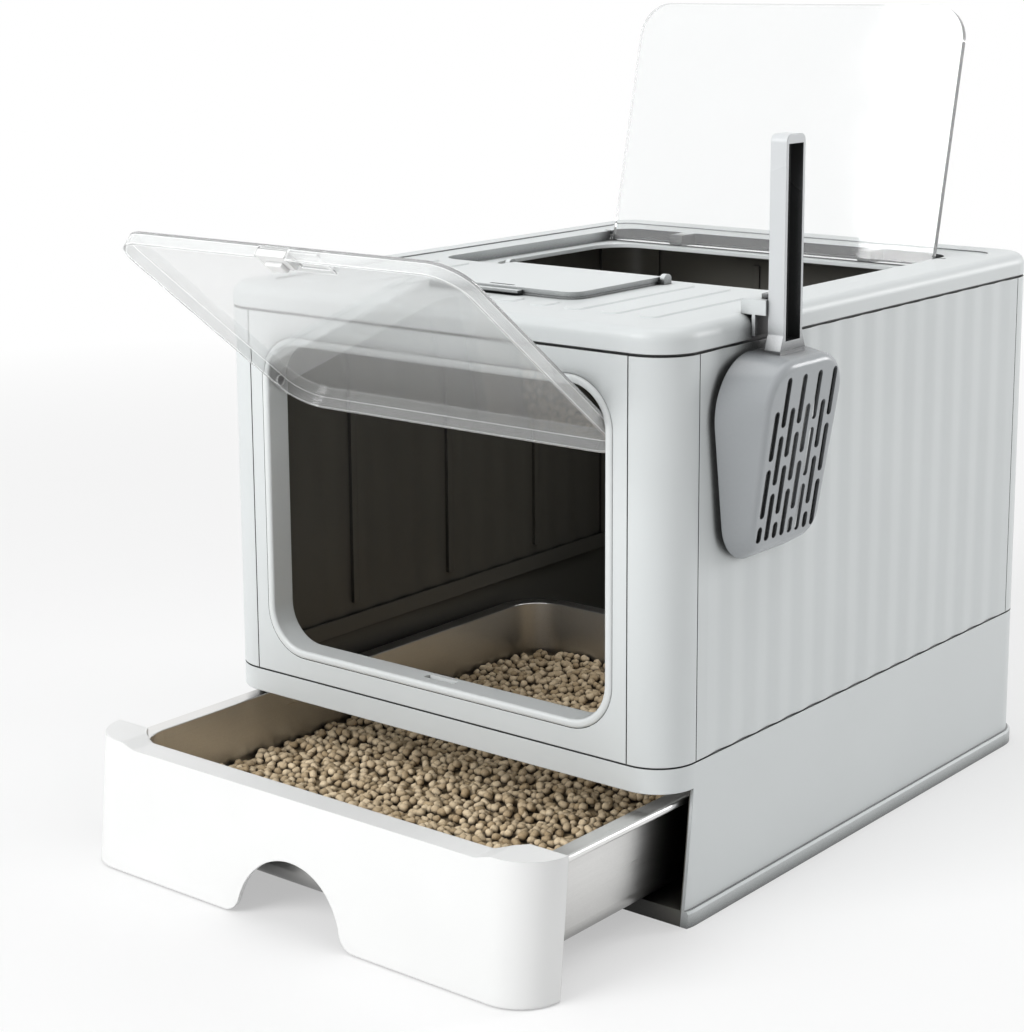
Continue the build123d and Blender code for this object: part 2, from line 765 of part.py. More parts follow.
# Pins of the deodoriser cover
with BuildPart() as deodoriser_pins:
    for side_sign in (-1, 1):
        with BuildSketch(Plane.YZ.offset(side_sign * deodoriser_width / 2)):
            with Locations((cover_pivot_y, cover_pivot_z)):
                Circle(cover_pin_radius)
        extrude(amount=side_sign * (ear_gap + ear_thickness - 2 * pin_end_gap))
write(deodoriser_pins, "deodoriser_pins")

# Deodorant bag lying in the tray
with BuildPart() as deodorant_bag:
    bag_level = field_level - tray_depth + tray_wall + bag_gap + bag_thickness / 2
    with BuildSketch(Plane.XY.offset(bag_level)):
        with Locations((0, deodoriser_middle)):
            RectangleRounded(bag_length, bag_width, bag_radius)
    extrude(amount=bag_thickness / 2, taper=bag_taper, both=True)
write(deodorant_bag, "deodorant_bag")

# Hanger clipped over the lid's edge, with a pocket for the scoop's hook
with BuildPart() as scoop_hanger:
    leg_inside = half_width + hanger_fit
    leg_bottom = lid_top - hanger_leg_drop
    with BuildSketch(scoop_plane):
        with BuildLine():
            Polyline(
                (half_width - hanger_reach_in, lid_top),
                (leg_inside, lid_top),
                (leg_inside, leg_bottom),
                (leg_inside + hanger_leg, leg_bottom),
                (leg_inside + hanger_leg, lid_top),
                (hanger_face, lid_top),
                (hanger_face, hanger_top),
                (half_width - hanger_reach_in, hanger_top),
                close=True,
            )
        make_face()
    extrude(amount=hanger_width / 2, both=True)
    with BuildSketch(Plane.XY.offset(hanger_top)):
        with Locations((pocket_x, scoop_y)):
            Rectangle(pocket_width, hook_width + 2 * hook_clearance)
    extrude(amount=-hook_drop - hook_clearance, mode=Mode.SUBTRACT)
write(scoop_hanger, "scoop_hanger")


def scoop_outline(sketch, shoulder, tip, top, bottom, shoulder_radius, tip_radius):
    """Draw in the sketch a rounded outline that narrows from its shoulders to its tip."""
    Polygon(
        (scoop_y - shoulder / 2, top),
        (scoop_y + shoulder / 2, top),
        (scoop_y + tip / 2, bottom),
        (scoop_y - tip / 2, bottom),
        align=None,
    )
    fillet(sketch.vertices().group_by(Axis.Y)[-1], shoulder_radius)
    fillet(sketch.vertices().group_by(Axis.Y)[0], tip_radius)


def scoop_bowl(inset):
    """Solid of the scoop's bowl, lofted from its open rim to its leaning face and drawn in by inset."""
    bottom = scoop_top - scoop_length
    lean_up = (scoop_depth - scoop_tip_depth) / scoop_length
    face_plane = Plane(
        origin=(scoop_back + scoop_tip_depth - inset - bottom * lean_up, 0, 0),
        x_dir=(0, 1, 0),
        z_dir=(1, 0, -lean_up),
    )
    stretch = (1 + lean_up**2) ** 0.5
    with BuildPart() as bowl:
        with BuildSketch(Plane.YZ.offset(scoop_back)) as open_rim:
            scoop_outline(
                open_rim,
                scoop_shoulder - 2 * inset,
                scoop_tip - 2 * inset,
                scoop_top - inset,
                bottom + inset,
                scoop_shoulder_radius - inset,
                scoop_tip_radius - inset,
            )
        with BuildSketch(face_plane) as slotted_face:
            scoop_outline(
                slotted_face,
                face_shoulder - 2 * inset,
                face_tip - 2 * inset,
                (scoop_top - face_top_drop - inset) * stretch,
                (bottom + face_bottom_rise + inset) * stretch,
                face_shoulder_radius - inset,
                face_tip_radius - inset,
            )
        loft(ruled=True)
        fillet(bowl.faces().sort_by(Axis.X)[-1].edges(), scoop_edge - inset)
    return bowl.part


# Scoop blade: a slotted bowl, open towards the panel
with BuildPart() as scoop_blade:
    add(scoop_bowl(0))
    with BuildSketch(Plane.XY.offset(scoop_top)):
        with Locations((handle_x, scoop_y)):
            Rectangle(handle_depth, handle_width + 2 * handle_flare)
    extrude(amount=-handle_foot)
    add(scoop_bowl(scoop_wall), mode=Mode.SUBTRACT)
    with BuildSketch(Plane.YZ.offset(scoop_back)):
        slot_bottom = scoop_top - scoop_length + slot_margin
        for column in range(slot_columns):
            slot_y = scoop_y + (column - (slot_columns - 1) / 2) * slot_pitch
            slot_start = scoop_top - slot_margin - slot_stagger * (1 - column % 2)
            for row in range(slot_rows):
                slot_high = slot_start - row * slot_row_pitch
                slot_low = max(slot_high - slot_length, slot_bottom)
                if slot_high - slot_low > 2 * slot_width:
                    with Locations((slot_y, (slot_high + slot_low) / 2)):
                        SlotOverall(slot_high - slot_low, slot_width, rotation=90)
    extrude(amount=2 * scoop_depth, mode=Mode.SUBTRACT)
write(scoop_blade, "scoop_blade")

# Scoop handle: a channel open outwards, flared at the foot, with a hook at the back
with BuildPart() as scoop_handle:
    with BuildSketch(Plane.XY.offset(scoop_top)):
        with Locations((handle_x, scoop_y)):
            Rectangle(handle_depth, handle_width)
    extrude(amount=handle_length)
    long_corners = scoop_handle.edges().filter_by(Axis.X).group_by(Axis.Z)[-1]
    fillet(long_corners, handle_end_radius)
    with BuildSketch(Plane.YZ.offset(handle_back)):
        with BuildLine():
            foot_half, grip_half = handle_width / 2 + handle_flare, handle_width / 2
            Polyline(
                (scoop_y - foot_half, scoop_top),
                (scoop_y + foot_half, scoop_top),
                (scoop_y + grip_half, scoop_top + handle_flare_height),
                (scoop_y - grip_half, scoop_top + handle_flare_height),
                close=True,
            )
        make_face()
    extrude(amount=handle_depth)
    with BuildSketch(Plane.YZ.offset(handle_back + handle_wall)):
        channel_length = handle_length - 2 * handle_end
        with Locations((scoop_y, scoop_top + handle_length / 2)):
            Rectangle(handle_width - 2 * handle_wall, channel_length)
    extrude(amount=handle_depth, mode=Mode.SUBTRACT)
    hook_low = hanger_top + rest_gap
    hook_back = pocket_x - hook_thickness / 2
    with BuildSketch(scoop_plane):
        with BuildLine():
            Polyline(
                (hook_back, hook_low - hook_drop),
                (hook_back + hook_thickness, hook_low - hook_drop),
                (hook_back + hook_thickness, hook_low),
                (handle_back + handle_wall / 2, hook_low),
                (handle_back + handle_wall / 2, hook_low + hook_thickness),
                (hook_back, hook_low + hook_thickness),
                close=True,
            )
        make_face()
    extrude(amount=hook_width / 2, both=True)
write(scoop_handle, "scoop_handle")


def drawer_block(inset, drop=0.0, high=drawer_top):
    """Leaning block behind the drawer's front face, drawn in by inset and reaching lower by drop."""
    low = drawer_foot - drop
    reach = 2 * corner_radius
    with BuildPart() as block:
        with BuildSketch(Plane.YZ):
            with BuildLine():
                face_low, face_high = (mouth_y(z) - corner_radius - drawer_out + inset for z in (low, high))
                Polyline(
                    (face_low, low),
                    (face_low + reach, low),
                    (face_high + reach, high),
                    (face_high, high),
                    close=True,
                )
            make_face()
        extrude(amount=half_width - inset, both=True)
        leaning = Axis((0, 0, 0), (0, face_high - face_low, high - low))
        fillet(block.edges().filter_by(leaning).sort_by(Axis.Y)[:2], corner_radius - inset)
    return block.part


# Drawer front: a leaning wall that wraps round the corners, with a lip, a finger arch and pan ribs
cut_plane = front_plane.offset(drawer_out + front_slant + corner_radius)
with BuildPart() as drawer_front:
    add(drawer_block(-drawer_proud))
    with BuildSketch(cut_plane):
        dip_half = half_width - drawer_dip_inset
        Polygon(
            (-dip_half - drawer_dip_run, drawer_top),
            (dip_half + drawer_dip_run, drawer_top),
            (dip_half, drawer_top - drawer_dip),
            (-dip_half, drawer_top - drawer_dip),
            align=None,
        )
    extrude(amount=-4 * corner_radius, mode=Mode.SUBTRACT)
    across_top = drawer_front.edges().filter_by(Axis.Y).group_by(Axis.Z)[-2:]
    dip_edges = [edge for group in across_top for edge in group if abs(edge.center().X) < half_width - 1]
    fillet(dip_edges, drawer_dip_round)
    add(drawer_block(drawer_wall - drawer_proud, drawer_wall, drawer_lip_bottom), mode=Mode.SUBTRACT)
    with BuildSketch(Plane.XY.offset(drawer_lip_bottom)):
        with Locations((0, drawer_face + drawer_lip_reach + half_depth)):
            RectangleRounded(body_width - 2 * drawer_lip_side, body_depth, drawer_lip_radius)
    extrude(amount=base_height, mode=Mode.SUBTRACT)
    with BuildSketch(Plane.YZ):
        with BuildLine():
            tail_low, tail_high = (mouth_y(z) - drawer_out - drawer_seam for z in (0, rail_bottom))
            Polyline((tail_low, 0), (0, 0), (0, rail_bottom), (tail_high, rail_bottom), close=True)
        make_face()
    extrude(amount=body_width, both=True, mode=Mode.SUBTRACT)
    with BuildSketch(cut_plane) as arch:
        Circle(arch_radius)
        with Locations((0, drawer_foot - arch_radius)):
            Rectangle(4 * arch_radius, 2 * arch_radius)
        fillet(arch.vertices().group_by(Axis.Y)[-1].sort_by(Axis.X)[1:-1], arch_flare)
    extrude(amount=-4 * corner_radius, mode=Mode.SUBTRACT)
    rib_top = pan_rim_height - pan_roll_height
    rib_low = rib_top - hook_rib_height
    rib_root_low, rib_root_high = (
        mouth_y(height) - corner_radius - drawer_out for height in (rib_low, rib_top)
    )
    for number in range(hook_rib_count):
        rib_x = (number - (hook_rib_count - 1) / 2) * hook_rib_pitch
        with BuildSketch(Plane.YZ.offset(rib_x)):
            with BuildLine():
                Polyline(
                    (rib_root_low, rib_low),
                    (rib_root_high, rib_top),
                    (pan_flange_front + pan_roll_width, rib_top),
                    close=True,
                )
            make_face()
        extrude(amount=hook_rib_width / 2, both=True)
write(drawer_front, "drawer_front")

# Steel pan: drawn sheet with a lip and a rolled rim
pan_top_plane = Plane(origin=(0, pan_middle, pan_rim_height), x_dir=(1, 0, 0), z_dir=(0, 0, -1))
with BuildPart() as steel_pan:
    with BuildSketch(pan_top_plane):
        RectangleRounded(pan_width, pan_length, pan_radius)
    extrude(amount=pan_height, taper=pan_draft)
    fillet(steel_pan.edges().group_by(Axis.Z)[0], pan_floor_radius)
    rim_shape = (pan_width + 2 * pan_flange, pan_length + 2 * pan_flange, pan_radius + pan_flange)
    with BuildSketch(pan_top_plane):
        RectangleRounded(*rim_shape)
    extrude(amount=pan_sheet)
    with BuildSketch(pan_top_plane):
        rounded_ring(*rim_shape, pan_roll_width)
    extrude(amount=pan_roll_height)
    roll_bottom = steel_pan.faces().filter_by(Plane.XY).group_by(Axis.Z)[1]
    fillet(roll_bottom.edges(), pan_roll_round)
    fillet(steel_pan.faces().sort_by(Axis.Z)[-1].edges(), pan_roll_round)
    inner_top = (pan_width - 2 * pan_sheet, pan_length - 2 * pan_sheet, pan_radius - pan_sheet)
    with BuildPart(mode=Mode.PRIVATE) as pan_hollow:
        with BuildSketch(pan_top_plane):
            RectangleRounded(*inner_top)
        extrude(amount=pan_height - pan_sheet, taper=pan_draft)
        fillet(pan_hollow.edges().group_by(Axis.Z)[0], pan_floor_radius - pan_sheet)
    add(pan_hollow.part, mode=Mode.SUBTRACT)
    fillet(steel_pan.faces().sort_by(Axis.Z)[-1].inner_wires()[0].edges(), pan_bend_round)
write(steel_pan, "steel_pan")

# Litter bed in the pan, with low raked ridges across it
with BuildPart() as litter_bed:
    with BuildSketch(Plane(origin=(0, pan_middle, litter_top), x_dir=(1, 0, 0), z_dir=(0, 0, -1))):
        RectangleRounded(
            pan_width - 2 * litter_inset, litter_length, pan_radius - litter_inset
        )
    extrude(amount=litter_depth, taper=pan_draft)
    fillet(litter_bed.edges().group_by(Axis.Z)[0], pan_floor_radius - pan_sheet - litter_gap)
    ridge_top = litter_top - litter_gap
    ridge_points = [
        (pan_middle - litter_length / 2 + step * ridge_step, ridge_top - litter_ridge * (step % 2))
        for step in range(2 * litter_ridge_count + 1)
    ]
    with BuildSketch(Plane.YZ):
        with BuildLine():
            ridges = Spline(ridge_points, tangents=((1, 0), (1, 0)))
            ridge_cover = litter_top + litter_ridge
            Polyline(
                ridges @ 1, (ridge_points[-1][0], ridge_cover), (ridge_points[0][0], ridge_cover), ridges @ 0
            )
        make_face()
    extrude(amount=pan_width, both=True, mode=Mode.SUBTRACT)
write(litter_bed, "litter_bed")
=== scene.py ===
# %% [markdown]
# A covered litter box: a light grey housing with a roof, a white drawer that carries a steel pan, two
# clear flaps and a scoop on the side. The solids arrive from the CAD model in one frame, in metres,
# with the floor at z = 0 and the front towards -Y. This script adds what the solids leave out:
# finishes, loose litter, a deodorant pouch, light and a camera.

# %% Load the solids
import math
import random

import bmesh
import bpy
from mathutils import Matrix, Vector


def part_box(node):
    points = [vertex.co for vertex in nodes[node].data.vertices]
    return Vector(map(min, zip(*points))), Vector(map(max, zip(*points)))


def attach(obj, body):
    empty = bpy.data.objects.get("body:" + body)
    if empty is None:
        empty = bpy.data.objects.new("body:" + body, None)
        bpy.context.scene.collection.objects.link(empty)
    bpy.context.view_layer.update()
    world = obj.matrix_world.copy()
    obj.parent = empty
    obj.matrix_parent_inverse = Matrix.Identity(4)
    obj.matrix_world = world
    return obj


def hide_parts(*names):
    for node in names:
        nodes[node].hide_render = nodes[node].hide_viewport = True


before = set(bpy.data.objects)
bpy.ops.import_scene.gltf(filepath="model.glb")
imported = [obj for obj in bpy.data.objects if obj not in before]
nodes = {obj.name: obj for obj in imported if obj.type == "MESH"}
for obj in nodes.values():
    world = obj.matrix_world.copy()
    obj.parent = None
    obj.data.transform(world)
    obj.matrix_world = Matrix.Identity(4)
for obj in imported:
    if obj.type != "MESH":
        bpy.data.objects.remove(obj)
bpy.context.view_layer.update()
scene = bpy.context.scene

# %% [markdown]
# The camera stands to the front right and looks slightly down. In the photograph the upright edges stay
# almost parallel although the roof is seen from above, which a lens shift gives: the axis stays close
# to level and the picture is taken from the lower part of the lens. The three axes of the camera were
# measured from the edges of the housing.

# %% Camera
IMAGE_SIDE = 1032
FOCAL_PIXELS = 2240.0
SENSOR = 36.0
AXIS_ABOVE_MIDDLE = 100.0
CLIP_NEAR = 0.05
CLIP_FAR = 60.0
CAMERA_PLACE = Vector((0.97816, -1.36515, 0.61851))
CAMERA_RIGHT = Vector((0.777579, 0.628757, -0.005947))
CAMERA_UP = Vector((-0.119173, 0.156653, 0.980437))
CAMERA_BACK = Vector((0.617389, -0.761659, 0.196741))


def add_camera():
    lens = bpy.data.cameras.new("camera")
    lens.sensor_width = SENSOR
    lens.lens = FOCAL_PIXELS / IMAGE_SIDE * SENSOR
    lens.shift_y = -AXIS_ABOVE_MIDDLE / IMAGE_SIDE
    lens.clip_start = CLIP_NEAR
    lens.clip_end = CLIP_FAR
    camera = bpy.data.objects.new("camera", lens)
    turn = Matrix((CAMERA_RIGHT, CAMERA_UP, CAMERA_BACK)).transposed()
    camera.matrix_world = Matrix.Translation(CAMERA_PLACE) @ turn.to_4x4()
    scene.collection.objects.link(camera)
    scene.camera = camera
    return camera


camera = add_camera()
print("camera:", round(camera.data.lens, 2), "mm, shift", round(camera.data.shift_y, 4))

# %% [markdown]
# Light and finishes are node trees. A few helpers keep their building short. Each one adds a node,
# feeds its sockets with constants or with other sockets, and hands back the result.

# %% Node helpers
def feed(tree, socket, value):
    if isinstance(value, bpy.types.NodeSocket):
        tree.links.new(value, socket)
    elif socket.type == "RGBA":
        socket.default_value = (*value, 1.0)
    else:
        socket.default_value = value


def feed_all(tree, node, values):
    for label, value in values.items():
        feed(tree, node.inputs[label.replace("_", " ")], value)
    return node


def add_node(tree, kind, **values):
    return feed_all(tree, tree.nodes.new("ShaderNode" + kind), values)


def object_place(tree):
    return add_node(tree, "TexCoord").outputs["Object"]


def noise_in(tree, place, scale, detail):
    return add_node(tree, "TexNoise", Vector=place, Scale=scale, Detail=detail).outputs["Fac"]


def range_in(tree, value, low, high, new_low, new_high):
    limits = {"From Min": low, "From Max": high, "To Min": new_low, "To Max": new_high}
    return feed_all(tree, add_node(tree, "MapRange", Value=value), limits).outputs["Result"]


def math_in(tree, operation, first, second):
    node = add_node(tree, "Math")
    node.operation = operation
    feed(tree, node.inputs[0], first)
    feed(tree, node.inputs[1], second)
    return node.outputs[0]


def vector_in(tree, operation, first, second=(0.0, 0.0, 0.0)):
    node = add_node(tree, "VectorMath")
    node.operation = operation
    feed(tree, node.inputs[0], first)
    feed(tree, node.inputs[1], second)
    return node.outputs


def mix_in(tree, mask, first, second, blend="MIX"):
    node = add_node(tree, "Mix")
    node.data_type = "RGBA"
    node.blend_type = blend
    return feed_all(tree, node, {"Factor": mask, "A": first, "B": second}).outputs["Result"]


def seen_rays(tree):
    path = add_node(tree, "LightPath").outputs
    direct = math_in(tree, "MAXIMUM", path["Is Camera Ray"], path["Is Glossy Ray"])
    return math_in(tree, "MAXIMUM", direct, path["Is Transmission Ray"])


print("node helpers ready")

# %% [markdown]
# The picture has soft studio light on white. A pale world fills the shadows, as a light tent does, and
# three large lamps give the surfaces a direction: one overhead, one high at the front left, and one
# lower at the right rear that grazes the waves of the side panel. The world is brighter for camera,
# glossy and transmission rays, so that metal and clear plastic show the same white that the camera
# sees, without more light on the object.

# %% World
WHITE = (1.0, 1.0, 1.0)
WORLD_LIGHT = 0.42
WORLD_SHOWN = 1.0


def add_world():
    world = bpy.data.worlds.new("light_tent")
    world.use_nodes = True
    tree = world.node_tree
    level = range_in(tree, seen_rays(tree), 0.0, 1.0, WORLD_LIGHT, WORLD_SHOWN)
    feed_all(tree, tree.nodes["Background"], {"Color": WHITE, "Strength": level})
    scene.world = world


add_world()
scene.view_settings.view_transform = "Standard"
print("world:", WORLD_LIGHT, "on the object,", WORLD_SHOWN, "to the camera")

# %% Lamps
LAMPS = {
    "lamp_top": {"place": (0.2, 0.1, 2.6), "aim": (0.0, 0.0, 0.3), "side": 1.8, "watts": 20.0},
    "lamp_front": {"place": (-0.7, -2.5, 1.7), "aim": (0.0, -0.1, 0.2), "side": 1.6, "watts": 54.0},
    "lamp_right": {"place": (1.5, 2.1, 0.9), "aim": (0.1, 0.0, 0.25), "side": 0.8, "watts": 20.0},
}


def add_lamp(name, place, aim, side, watts):
    data = bpy.data.lights.new(name, "AREA")
    data.shape = "SQUARE"
    data.size = side
    data.energy = watts
    lamp = bpy.data.objects.new(name, data)
    look = Vector(aim) - Vector(place)
    turn = look.to_track_quat("-Z", "Y").to_matrix().to_4x4()
    lamp.matrix_world = Matrix.Translation(Vector(place)) @ turn
    scene.collection.objects.link(lamp)


for name, setting in LAMPS.items():
    add_lamp(name, **setting)
print("lamps:", ", ".join(LAMPS))

# %% [markdown]
# Shared effects are node groups, built once. The first is the skin of a moulded plastic: a fine spark-
# eroded grain that breaks up highlights, and a slow unevenness where the plastic cooled. It puts out a
# height for the bump and a slow mask for colour and gloss.

# %% Groups and materials
def new_group(name, inputs, outputs):
    group = bpy.data.node_groups.new(name, "ShaderNodeTree")
    for label, value in inputs.items():
        socket = group.interface.new_socket(label, in_out="INPUT", socket_type="NodeSocketFloat")
        socket.default_value = value
    for label in outputs:
        group.interface.new_socket(label, in_out="OUTPUT", socket_type="NodeSocketFloat")
    start = group.nodes.new("NodeGroupInput")
    end = group.nodes.new("NodeGroupOutput")
    return group, start.outputs, end


def place_group(tree, group, **values):
    node = tree.nodes.new("ShaderNodeGroup")
    node.node_tree = group
    return feed_all(tree, node, values).outputs


def start_material(name):
    material = bpy.data.materials.new(name)
    material.use_nodes = True
    tree = material.node_tree
    return material, tree, tree.nodes["Principled BSDF"]


print("group helpers ready")

# %% Moulded skin
GRAIN_SCALE = 1400.0
GRAIN_DETAIL = 3.0
FLOW_SCALE = 9.0
FLOW_DETAIL = 2.0
FLOW_RANGE = (0.3, 0.7)


def make_moulded_skin():
    group, start, end = new_group("moulded_skin", {"Grain Scale": GRAIN_SCALE}, ["Height", "Flow"])
    place = object_place(group)
    fine = noise_in(group, place, start["Grain Scale"], GRAIN_DETAIL)
    slow = noise_in(group, place, FLOW_SCALE, FLOW_DETAIL)
    feed_all(group, end, {"Height": fine, "Flow": range_in(group, slow, *FLOW_RANGE, 0.0, 1.0)})
    return group


moulded_skin = make_moulded_skin()
print("group:", moulded_skin.name)

# %% [markdown]
# Seams, slots and channels are given painted shade, which makes a moulded product readable. An ambient
# occlusion node measures how open a point is to its surroundings within a short reach, and the group
# turns that into a mask that is one on open faces and falls towards zero in a gap, where the materials
# darken their colour. A second group tells the inner faces of the walls from the outer ones: it measures
# how deep a point lies behind the rounded outline of the housing, and the housing paints shade there.

# %% Shaded gaps
GAP_SIZES = {"Reach": 0.012, "Closed": 0.12, "Clear": 0.72}
GAP_SAMPLES = 8


def make_shaded_gaps():
    group, start, end = new_group("shaded_gaps", GAP_SIZES, ["Open"])
    near = add_node(group, "AmbientOcclusion", Distance=start["Reach"])
    near.samples = GAP_SAMPLES
    spread = range_in(group, near.outputs["AO"], start["Closed"], start["Clear"], 0.0, 1.0)
    feed_all(group, end, {"Open": spread})
    return group


shaded_gaps = make_shaded_gaps()
print("group:", shaded_gaps.name)

# %% Cabin side of the walls
HOUSING_HALF_WIDTH = 0.200
HOUSING_HALF_DEPTH = 0.250
HOUSING_CORNER = 0.030
CABIN_TOP = 0.3796
CABIN_DEPTH = 0.0022
ANY_HEIGHT = 10.0


def make_cabin_side():
    group, start, end = new_group("cabin_side", {"Depth": CABIN_DEPTH}, ["Inside"])
    place = object_place(group)
    folded = vector_in(group, "ABSOLUTE", place)["Vector"]
    core = (HOUSING_HALF_WIDTH - HOUSING_CORNER, HOUSING_HALF_DEPTH - HOUSING_CORNER, ANY_HEIGHT)
    beyond = vector_in(group, "SUBTRACT", folded, core)["Vector"]
    corner = vector_in(group, "MAXIMUM", beyond)["Vector"]
    away = vector_in(group, "LENGTH", corner)["Value"]
    depth = math_in(group, "SUBTRACT", HOUSING_CORNER, away)
    deep = math_in(group, "GREATER_THAN", depth, start["Depth"])
    height = add_node(group, "SeparateXYZ", Vector=place).outputs["Z"]
    below = math_in(group, "LESS_THAN", height, CABIN_TOP)
    feed_all(group, end, {"Inside": math_in(group, "MULTIPLY", deep, below)})
    return group


cabin_side = make_cabin_side()
print("group:", cabin_side.name)

# %% [markdown]
# Plastic is a Principled shader whose colour, roughness and bump come from that skin. The housing is a
# light cool grey with a satin face and painted shade on the cabin side of its walls; the doorway rim is
# the same grey made lighter, a painted highlight; the drawer is whiter and glossier; the scoop is a mid
# grey with a sheen like paint. Every plastic takes painted shade in its seams, slots and channels. A
# mould never gives a sharp edge, and the thin bright line along each edge comes from its small radius. A
# Bevel node bends the shading over such a radius and leaves the solids as they are.

# %% Shading helpers
EDGE_SAMPLES = 4


def soft_edge(tree, radius):
    node = add_node(tree, "Bevel", Radius=radius)
    node.samples = EDGE_SAMPLES
    return node.outputs["Normal"]


def bump_in(tree, height, distance, strength, edge=0.0):
    node = add_node(tree, "Bump", Height=height, Distance=distance, Strength=strength)
    if edge:
        feed_all(tree, node, {"Normal": soft_edge(tree, edge)})
    return node.outputs["Normal"]


def uneven(tree, mask, colour, spread):
    low, high = (tuple(channel * factor for channel in colour) for factor in (1 - spread, 1 + spread))
    return mix_in(tree, mask, low, high)


# Paints shade into the colour: the tint darkens towards the shade value where the occlusion mask is
# closed.
def shade_gaps(tree, tint, shade, reach, closed, clear):
    open_share = place_group(tree, shaded_gaps, Reach=reach, Closed=closed, Clear=clear)["Open"]
    closed_share = math_in(tree, "SUBTRACT", 1.0, open_share)
    return mix_in(tree, closed_share, tint, (shade, shade, shade), "MULTIPLY")


print("shading helpers ready")

# %% Moulded plastics
MOULD_EDGE = 0.0009
MOULD_SPREAD = 0.015
MOULD_IOR = 1.48
GLOSS_DOWN = 0.03
GLOSS_UP = 0.04
GRAIN_STRENGTH = 0.25
# Painted shade for the cabin side of the housing walls, where little light reaches.
PAINTED_CABIN_SHADE = (0.22, 0.205, 0.18)
SATIN = {"grain": 1400.0, "depth": 0.00012}
SMOOTH = {"grain": 1700.0, "depth": 0.00006}
PAINTED = {"grain": 1900.0, "depth": 0.00005}
# Painted shade in gaps for each finish: how dark, how far the occlusion looks, where it starts and ends.
SEAM_GAPS = {"shade": 0.04, "reach": 0.026, "closed": 0.42, "clear": 0.78}
PANEL_GAPS = {"shade": 0.05, "reach": 0.060, "closed": 0.38, "clear": 0.74}
EDGE_GAPS = {"shade": 0.30, "reach": 0.006, "closed": 0.12, "clear": 0.72}
SCOOP_GAPS = {"shade": 0.06, "reach": 0.050, "closed": 0.42, "clear": 0.96}
HANDLE_GAPS = {"shade": 0.04, "reach": 0.022, "closed": 0.58, "clear": 0.96}
SHELL = {"gloss": 0.40, **SATIN, "painted_cabin_shade": PAINTED_CABIN_SHADE}
PLASTICS = {
    "shell_grey": {"colour": (0.655, 0.684, 0.687), **SHELL, "gaps": SEAM_GAPS},
    "panel_grey": {"colour": (0.645, 0.674, 0.677), **SHELL, "gaps": PANEL_GAPS},
    # The doorway rim is the housing's grey made lighter: a painted highlight on its rounded edge.
    "rim_painted_highlight": {"colour": (0.70, 0.725, 0.725), "gloss": 0.30, **SMOOTH, "gaps": EDGE_GAPS},
    "drawer_white": {"colour": (0.82, 0.825, 0.82), "gloss": 0.34, **SMOOTH, "gaps": EDGE_GAPS},
    "scoop_grey": {"colour": (0.370, 0.390, 0.405), "gloss": 0.24, **PAINTED, "gaps": SCOOP_GAPS},
    "handle_grey": {"colour": (0.62, 0.64, 0.652), "gloss": 0.26, **PAINTED, "gaps": HANDLE_GAPS},
}


def moulded_plastic(name, colour, gloss, grain, depth, gaps, painted_cabin_shade=None):
    material, tree, shader = start_material(name)
    skin = place_group(tree, moulded_skin, Grain_Scale=grain)
    # The tint takes painted shade in seams, slots, channels and under parts that stand close.
    tint = shade_gaps(tree, uneven(tree, skin["Flow"], colour, MOULD_SPREAD), **gaps)
    # The cabin side of the walls takes painted shade.
    if painted_cabin_shade:
        inside = place_group(tree, cabin_side, Depth=CABIN_DEPTH)["Inside"]
        tint = mix_in(tree, inside, tint, painted_cabin_shade, "MULTIPLY")
    feed_all(tree, shader, {
        "Base Color": tint,
        "Roughness": range_in(tree, skin["Flow"], 0.0, 1.0, gloss - GLOSS_DOWN, gloss + GLOSS_UP),
        "IOR": MOULD_IOR,
        "Normal": bump_in(tree, skin["Height"], depth, GRAIN_STRENGTH, MOULD_EDGE),
    })
    return material


plastics = {name: moulded_plastic(name, **values) for name, values in PLASTICS.items()}
print("plastics:", ", ".join(plastics))

# %% [markdown]
# The flaps are clear acrylic with a faint milk in it. Glass alone would vanish on white, so a small
# part of the light scatters: the transmission stays below one and the rest is a white body. Handling
# leaves a fine haze, which is a slow noise in the roughness. The edges of a clear sheet are found where
# the softened normal leans away from the face's own. On the front flap they glow with painted light, an
# emission that gives a bright line; on the thin roof flap they carry painted shade, a grey line.

# %% Clear plastic
CLEAR_LOW = (0.955, 0.965, 0.965)
CLEAR_HIGH = (0.975, 0.985, 0.985)
CLEAR_IOR = 1.46
HAZE = 0.02
HAZE_SPREAD = 0.05
SMEAR_SCALE = 14.0
SMEAR_DETAIL = 3.0
SMEAR_RANGE = (0.35, 0.75)
CUT_EDGE = 0.0012
CUT_RANGE = (0.80, 0.97)
# Edge values for each sheet: a grey tint is painted shade on the roof flap's edges, and an emission is
# painted light on the front flap's edges.
CLEARS = {
    "clear_plastic": {"milk": 0.20, "painted_edge_shade": WHITE, "painted_edge_glow": 0.50},
    "roof_clear": {"milk": 0.08, "painted_edge_shade": (0.74, 0.75, 0.75), "painted_edge_glow": 0.0},
}


def cut_edges(tree):
    face = add_node(tree, "NewGeometry").outputs["Normal"]
    facing = vector_in(tree, "DOT_PRODUCT", soft_edge(tree, CUT_EDGE), face)["Value"]
    return range_in(tree, facing, *CUT_RANGE, 1.0, 0.0)


